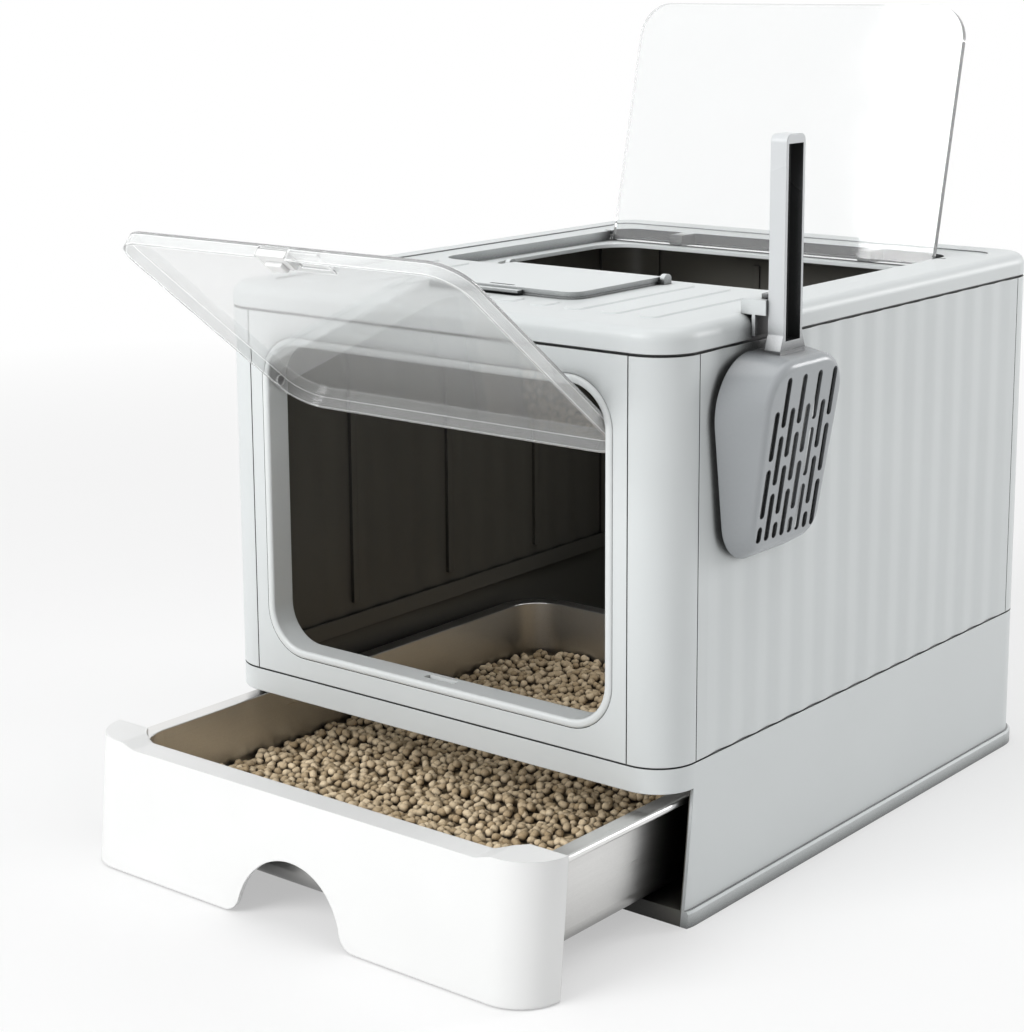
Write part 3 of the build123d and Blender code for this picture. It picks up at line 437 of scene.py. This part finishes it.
def clear_sheet(name, milk, painted_edge_shade, painted_edge_glow):
    material, tree, shader = start_material(name)
    smear = noise_in(tree, object_place(tree), SMEAR_SCALE, SMEAR_DETAIL)
    edge = cut_edges(tree)
    # The edges take their painted shade in the tint.
    tint = mix_in(tree, edge, mix_in(tree, smear, CLEAR_LOW, CLEAR_HIGH), painted_edge_shade, "MULTIPLY")
    feed_all(tree, shader, {
        "Base Color": tint,
        "Roughness": range_in(tree, smear, *SMEAR_RANGE, HAZE, HAZE + HAZE_SPREAD),
        "Transmission Weight": 1.0 - milk,
        "IOR": CLEAR_IOR,
    })
    # The edges glow with painted light, an emission.
    if painted_edge_glow:
        painted_glow = math_in(tree, "MULTIPLY", edge, painted_edge_glow)
        feed_all(tree, shader, {"Emission Color": WHITE, "Emission Strength": painted_glow})
    return material


clears = {name: clear_sheet(name, **values) for name, values in CLEARS.items()}
print("clear:", ", ".join(clears))

# %% [markdown]
# The pan is drawn from brushed stainless sheet. The brushing runs along the pan, so the noise is drawn
# out along it: one axis of the pattern is scaled far down. The same streaks drive the gloss and a very
# shallow bump, which stretches reflections as real brushing does.

# %% Brushed steel
LINE_SCALE = 900.0
LINE_DETAIL = 2.0
LINE_STRETCH = (1.0, 0.02, 1.0)
CLOUD_SCALE = 12.0
CLOUD_DETAIL = 3.0
STEEL_COLOUR = (0.78, 0.775, 0.76)
STEEL_SPREAD = 0.04
STEEL_GLOSS = 0.30
STREAK_RANGE = (0.1, 0.4)
STREAK_DEPTH = 0.00002
STREAK_STRENGTH = 0.1
# Painted shade on the pan: darker near the housing, under its flange and beside the litter.
STEEL_GAPS = {"shade": 0.15, "reach": 0.090, "closed": 0.10, "clear": 0.80}


def make_brushed_lines():
    group, start, end = new_group("brushed_lines", {"Line Scale": LINE_SCALE}, ["Streak", "Cloud"])
    place = object_place(group)
    drawn_out = add_node(group, "Mapping", Vector=place, Scale=LINE_STRETCH).outputs["Vector"]
    streak = noise_in(group, drawn_out, start["Line Scale"], LINE_DETAIL)
    feed_all(group, end, {"Streak": streak, "Cloud": noise_in(group, place, CLOUD_SCALE, CLOUD_DETAIL)})
    return group


brushed_lines = make_brushed_lines()


def brushed_steel(name):
    material, tree, shader = start_material(name)
    lines = place_group(tree, brushed_lines, Line_Scale=LINE_SCALE)
    both = math_in(tree, "MULTIPLY", lines["Streak"], lines["Cloud"])
    gloss = (STEEL_GLOSS - GLOSS_DOWN, STEEL_GLOSS + GLOSS_UP)
    # The colour takes painted shade from the occlusion mask.
    feed_all(tree, shader, {
        "Base Color": shade_gaps(
            tree, uneven(tree, lines["Streak"], STEEL_COLOUR, STEEL_SPREAD), **STEEL_GAPS
        ),
        "Roughness": range_in(tree, both, *STREAK_RANGE, *gloss),
        "Metallic": 1.0,
        "Normal": bump_in(tree, lines["Streak"], STREAK_DEPTH, STREAK_STRENGTH),
    })
    return material


pan_steel = brushed_steel("pan_steel")
print("steel:", pan_steel.name)

# %% [markdown]
# Each solid keeps its mesh and takes its finish through its material slots.

# %% Finishes on the solids
FINISHES = {
    "shell_grey": (
        "base_tray front_left_post front_right_post rear_left_post rear_right_post front_panel rear_panel "
        "lid deodoriser_tray deodoriser_cover deodoriser_pins scoop_hanger"
    ),
    "panel_grey": "left_side_panel right_side_panel",
    "rim_painted_highlight": "doorway_rim",
    "drawer_white": "drawer_front latch_slider",
    "clear_plastic": "front_flap front_flap_pins latch_plate",
    "roof_clear": "top_flap top_flap_pins",
    "pan_steel": "steel_pan",
    "scoop_grey": "scoop_blade",
    "handle_grey": "scoop_handle",
}
materials = {**plastics, **clears, "pan_steel": pan_steel}


def finish_solid(name, material):
    mesh = nodes[name].data
    if not mesh.materials:
        mesh.materials.append(material)
    for index in range(len(mesh.materials)):
        mesh.materials[index] = material


for finish, names in FINISHES.items():
    for name in names.split():
        finish_solid(name, materials[finish])
print("finished:", sum(len(names.split()) for names in FINISHES.values()), "of", len(nodes))

# %% [markdown]
# Litter is pressed pellets, each a short rounded rod. One rod is modelled with a bevelled cylinder of
# few faces, and then copied thousands of times with random turns. Under them lies a plain bed that
# closes the gaps, coloured dark as painted shade. The draw is seeded, so every run gives the same pellets.

# %% One pellet
PELLET_RADIUS = 0.0030
PELLET_SIDES = 6
PELLET_LENGTH = 0.0072
PELLET_ROUND = 0.0013
SAME_HEIGHT = 1e-6


def rise(edge):
    return abs(edge.verts[0].co.z - edge.verts[1].co.z)


def round_edges(bm, edges, offset, segments):
    bmesh.ops.bevel(
        bm, geom=edges, offset=offset, affect="EDGES", segments=segments, profile=0.5, material=-1,
    )


def close_mesh(bm, mesh, smooth=False):
    for face in bm.faces:
        face.smooth = smooth
    bm.to_mesh(mesh)
    bm.free()
    return mesh


def shape_pellet():
    bm = bmesh.new()
    bmesh.ops.create_cone(
        bm, cap_ends=True, segments=PELLET_SIDES, radius1=PELLET_RADIUS, radius2=PELLET_RADIUS,
        depth=PELLET_LENGTH,
    )
    rims = [edge for edge in bm.edges if rise(edge) < SAME_HEIGHT]
    round_edges(bm, rims, PELLET_ROUND, 1)
    return close_mesh(bm, bpy.data.meshes.new("pellet"), smooth=True)


pellet = shape_pellet()
print("pellet:", len(pellet.polygons), "faces")

# %% Places in the heap
BED_CORNER = 0.026
WALL_GAP = 0.003
PELLET_STEP = 0.0064
PELLET_STRAY = 0.0024
PELLET_SINK = 0.0030
PELLET_DOWN = 0.0018
PELLET_UP = 0.0022
RIDGE_COUNT = 12
RIDGE_DEPTH = 0.0032


def inside_rounded(x, y, half_x, half_y, corner):
    over_x = max(abs(x) - (half_x - corner), 0.0)
    over_y = max(abs(y) - (half_y - corner), 0.0)
    return math.hypot(over_x, over_y) < corner


def pellet_places(low, high, draw):
    middle = (low + high) / 2
    half_x = (high.x - low.x) / 2 - WALL_GAP
    half_y = (high.y - low.y) / 2 - WALL_GAP
    across = int(2 * half_x / PELLET_STEP)
    along = int(2 * half_y / PELLET_STEP)
    for row in range(along + 1):
        for column in range(across + 1):
            x = (column - across / 2) * PELLET_STEP + draw.uniform(-PELLET_STRAY, PELLET_STRAY)
            y = (row - along / 2) * PELLET_STEP + draw.uniform(-PELLET_STRAY, PELLET_STRAY)
            if inside_rounded(x, y, half_x, half_y, BED_CORNER):
                ridge = math.cos(math.tau * RIDGE_COUNT * (y + half_y) / (2 * half_y))
                dip = RIDGE_DEPTH / 2 * (1 - ridge)
                z = high.z - PELLET_SINK - dip + draw.uniform(-PELLET_DOWN, PELLET_UP)
                yield Vector((middle.x + x, middle.y + y, z))


print("ridges:", RIDGE_COUNT)

# %% The heap
LITTER_SEED = 11
BED_DROP = 0.0065
BED_THICKNESS = 0.010
BED_SEGMENTS = 5
# The bed's value of the shade attribute, low so that it shows as painted shade between pellets.
BED_PAINTED_SHADE = 0.15
PELLET_LEAN = 0.45
PELLET_GIRTH = (0.85, 1.12)
PELLET_STRETCH = (0.75, 1.15)


def shape_bed(bm, low, high):
    size = high - low
    bmesh.ops.create_cube(bm, size=1.0)
    bmesh.ops.scale(bm, vec=size, verts=bm.verts)
    bmesh.ops.translate(bm, vec=(low + high) / 2, verts=bm.verts)
    uprights = [edge for edge in bm.edges if rise(edge) > size.z / 2]
    round_edges(bm, uprights, BED_CORNER, BED_SEGMENTS)


def pellet_turn(place, draw):
    turn = Matrix.Rotation(draw.uniform(0, math.tau), 4, "Z")
    lean = Matrix.Rotation(math.pi / 2 + draw.gauss(0, PELLET_LEAN), 4, "X")
    girth = draw.uniform(*PELLET_GIRTH)
    stretch = draw.uniform(*PELLET_STRETCH)
    return Matrix.Translation(place) @ turn @ lean @ Matrix.Diagonal((girth, girth, stretch, 1.0))


def shape_litter():
    low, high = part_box("litter_bed")
    draw = random.Random(LITTER_SEED)
    bm = bmesh.new()
    top = high.z - BED_DROP
    shape_bed(bm, Vector((low.x, low.y, top - BED_THICKNESS)), Vector((high.x, high.y, top)))
    # The bed is coloured dark as painted shade.
    shades = [BED_PAINTED_SHADE] * len(bm.verts)
    for place in pellet_places(low, high, draw):
        rod = pellet.copy()
        rod.transform(pellet_turn(place, draw))
        bm.from_mesh(rod)
        shades += [draw.random()] * len(rod.vertices)
        bpy.data.meshes.remove(rod)
    mesh = bpy.data.meshes.new("loose_litter")
    bm.to_mesh(mesh)
    bm.free()
    shade = mesh.attributes.new("shade", "FLOAT", "POINT")
    shade.data.foreach_set("value", shades)
    return mesh


litter_mesh = shape_litter()
bpy.data.meshes.remove(pellet)
print("litter:", len(litter_mesh.polygons), "faces")

# %% [markdown]
# The pellets are pressed plant fibre: tan, each a little lighter or darker than the next, with fine
# specks. The shade of a pellet is an attribute written with the heap; the bed's low value is painted
# shade, and the crevices between pellets take painted shade as well.

# %% Litter finish
FIBRE_DARK = (0.44, 0.32, 0.18)
FIBRE_LIGHT = (0.96, 0.79, 0.55)
FIBRE_RANGE = (0.2, 1.5)
FIBRE_GLOSS = 0.8
SPECK_SCALE = 900.0
SPECK_DETAIL = 4.0
SPECK_SHARE = 0.7
SPECK_DEPTH = 0.0004
SPECK_STRENGTH = 0.5
# Painted shade in the crevices between pellets.
PELLET_GAPS = {"shade": 0.10, "reach": 0.006, "closed": 0.15, "clear": 0.85}


def pressed_fibre(name):
    material, tree, shader = start_material(name)
    shade = add_node(tree, "Attribute")
    shade.attribute_name = "shade"
    speck = noise_in(tree, object_place(tree), SPECK_SCALE, SPECK_DETAIL)
    mask = math_in(tree, "ADD", shade.outputs["Fac"], math_in(tree, "MULTIPLY", speck, SPECK_SHARE))
    tint = mix_in(tree, range_in(tree, mask, *FIBRE_RANGE, 0.0, 1.0), FIBRE_DARK, FIBRE_LIGHT)
    # The colour takes painted shade in the crevices.
    feed_all(tree, shader, {
        "Base Color": shade_gaps(tree, tint, **PELLET_GAPS),
        "Roughness": FIBRE_GLOSS,
        "Normal": bump_in(tree, speck, SPECK_DEPTH, SPECK_STRENGTH),
    })
    return material


litter_mesh.materials.append(pressed_fibre("litter_fibre"))
litter = bpy.data.objects.new("loose_litter", litter_mesh)
scene.collection.objects.link(litter)
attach(litter, "drawer")
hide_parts("litter_bed")
print("litter rides on the drawer")

# %% [markdown]
# The deodorant pouch is a small pillow of net fabric with a flat seal at each end. A pillow shaped by
# hand tends to look like a lens, so it is blown up instead: two sheets joined at their edges become
# cloth, air pressure swells them for twenty frames, and the wrinkles near the seals come by themselves.
# The seals hold its ends, and a limit on how far a point may move keeps it inside its box under the
# cover.

# %% Pouch blank
POUCH_LENGTH = 0.094
POUCH_WIDTH = 0.070
POUCH_BLANK = 0.0022
POUCH_CELL = 0.0026

bag_low, bag_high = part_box("deodorant_bag")
pouch_middle = (bag_low + bag_high) / 2


def shape_blank():
    bm = bmesh.new()
    bmesh.ops.create_grid(
        bm, x_segments=int(POUCH_LENGTH / POUCH_CELL), y_segments=int(POUCH_WIDTH / POUCH_CELL), size=0.5,
    )
    bmesh.ops.scale(bm, vec=(POUCH_LENGTH, POUCH_WIDTH, 1.0), verts=bm.verts)
    bmesh.ops.solidify(bm, geom=bm.faces[:], thickness=POUCH_BLANK)
    bmesh.ops.recalc_face_normals(bm, faces=bm.faces)
    bmesh.ops.translate(bm, vec=pouch_middle, verts=bm.verts)
    return close_mesh(bm, bpy.data.meshes.new("pouch_blank"))


pouch_blank = shape_blank()
print("pouch blank:", len(pouch_blank.vertices), "points")

# %% Air in the pouch
AIR_PRESSURE = 180.0
CLOTH_MASS = 0.1
CLOTH_BENDING = 0.1
SWELL_LIMIT = 0.0050
SWELL_FRAMES = 20


def hold_ends(piece):
    ends = piece.vertex_groups.new(name="seal")
    reach = POUCH_LENGTH / 2 - POUCH_CELL / 2
    held = [v.index for v in piece.data.vertices if abs(v.co.x - pouch_middle.x) > reach]
    ends.add(held, 1.0, "REPLACE")
    return ends.name


def limit_moves(blank, swollen):
    for before, after in zip(blank.vertices, swollen.vertices):
        move = after.co - before.co
        if move.length > SWELL_LIMIT:
            after.co = before.co + move.normalized() * SWELL_LIMIT


def blow_up(blank):
    piece = bpy.data.objects.new("pouch_blank", blank)
    scene.collection.objects.link(piece)
    cloth = piece.modifiers.new("air", "CLOTH").settings
    cloth.vertex_group_mass = hold_ends(piece)
    cloth.use_pressure = True
    cloth.uniform_pressure_force = AIR_PRESSURE
    cloth.mass = CLOTH_MASS
    cloth.bending_stiffness = CLOTH_BENDING
    cloth.effector_weights.gravity = 0.0
    for number in range(1, SWELL_FRAMES + 1):
        scene.frame_set(number)
    seen = piece.evaluated_get(bpy.context.evaluated_depsgraph_get())
    swollen = bpy.data.meshes.new_from_object(seen)
    limit_moves(blank, swollen)
    bpy.data.objects.remove(piece)
    scene.frame_set(1)
    return swollen


pouch_mesh = blow_up(pouch_blank)
heights = [v.co.z for v in pouch_mesh.vertices]
print("pouch thickness:", round(max(heights) - min(heights), 4))

# %% Seals at the pouch's ends
SEAL_LENGTH = 0.0075
SEAL_THICKNESS = 0.0012
SEAL_OVERLAP = 0.0015
SEAL_ROUND = SEAL_THICKNESS / 3


def add_seals(mesh):
    bm = bmesh.new()
    bm.from_mesh(mesh)
    for side in (-1, 1):
        seal = bmesh.ops.create_cube(bm, size=1.0)["verts"]
        bmesh.ops.scale(bm, vec=(SEAL_LENGTH, POUCH_WIDTH, SEAL_THICKNESS), verts=seal)
        shift = side * (POUCH_LENGTH / 2 + SEAL_LENGTH / 2 - SEAL_OVERLAP)
        bmesh.ops.translate(bm, vec=pouch_middle + Vector((shift, 0.0, -POUCH_BLANK / 2)), verts=seal)
        round_edges(bm, list({edge for v in seal for edge in v.link_edges}), SEAL_ROUND, 1)
    close_mesh(bm, mesh, smooth=True)


add_seals(pouch_mesh)
pouch_mesh.name = "deodorant_pouch"
print("pouch:", len(pouch_mesh.polygons), "faces")

# %% [markdown]
# The net is woven from white threads over a grey filling. Two sets of bands cross on the slant: where
# either band is high there is a thread, and the rest shows the filling through the holes.

# %% Net finish
NET_PITCH = 0.0030
NET_SLANT = math.pi / 4
NET_RANGE = (0.55, 0.85)
NET_DEPTH = 0.0004
NET_STRENGTH = 0.6
NET_GLOSS = 0.75
NET_SHEEN = 0.25
FILLING = (0.34, 0.35, 0.36)
THREAD = (0.80, 0.81, 0.82)
WAVE_UNIT = 20.0


def net_bands(tree, place, turn):
    slant = add_node(tree, "Mapping", Vector=place, Rotation=(0.0, 0.0, turn)).outputs["Vector"]
    scale = math.tau / (WAVE_UNIT * NET_PITCH)
    return add_node(tree, "TexWave", Vector=slant, Scale=scale).outputs["Fac"]


def net_fabric(name):
    material, tree, shader = start_material(name)
    place = object_place(tree)
    right, left = (net_bands(tree, place, turn) for turn in (NET_SLANT, -NET_SLANT))
    mask = range_in(tree, math_in(tree, "MAXIMUM", right, left), *NET_RANGE, 0.0, 1.0)
    feed_all(tree, shader, {
        "Base Color": mix_in(tree, mask, FILLING, THREAD),
        "Roughness": NET_GLOSS,
        "Sheen Weight": NET_SHEEN,
        "Normal": bump_in(tree, mask, NET_DEPTH, NET_STRENGTH),
    })
    return material


pouch_mesh.materials.append(net_fabric("bag_net"))
pouch = bpy.data.objects.new("deodorant_pouch", pouch_mesh)
scene.collection.objects.link(pouch)
rounding = pouch.modifiers.new("rounding", "SUBSURF")
rounding.levels = 1
rounding.render_levels = 1
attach(pouch, "roof")
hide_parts("deodorant_bag")
print("pouch rides on the roof")

# %% [markdown]
# The floor is a plain pale disc. Near the object it is lit like any surface, so it keeps the shadow;
# further out it fades into the white of the world for the camera, and for reflections and clear plastic
# as well.

# %% Floor
FLOOR_RADIUS = 14.0
FLOOR_SIDES = 96
FLOOR_KEPT = 0.45
FLOOR_FADE = (0.75, 2.2)
FLOOR_LOOK = {"Base Color": (0.88, 0.88, 0.88), "Roughness": 0.9, "Specular IOR Level": 0.1}


def floor_finish():
    material, tree, shader = start_material("floor_white")
    feed_all(tree, shader, FLOOR_LOOK)
    away = vector_in(tree, "LENGTH", object_place(tree))["Value"]
    white_share = range_in(tree, away, *FLOOR_FADE, FLOOR_KEPT, 1.0)
    both = add_node(tree, "MixShader", Fac=math_in(tree, "MULTIPLY", seen_rays(tree), white_share))
    feed(tree, both.inputs[1], shader.outputs["BSDF"])
    feed(tree, both.inputs[2], add_node(tree, "Emission").outputs["Emission"])
    feed_all(tree, tree.nodes["Material Output"], {"Surface": both.outputs["Shader"]})
    return material


def add_floor():
    bm = bmesh.new()
    bmesh.ops.create_circle(bm, cap_ends=True, segments=FLOOR_SIDES, radius=FLOOR_RADIUS)
    mesh = close_mesh(bm, bpy.data.meshes.new("floor"))
    mesh.materials.append(floor_finish())
    floor = bpy.data.objects.new("floor", mesh)
    scene.collection.objects.link(floor)


add_floor()
print("floor:", 2 * FLOOR_RADIUS, "m across")
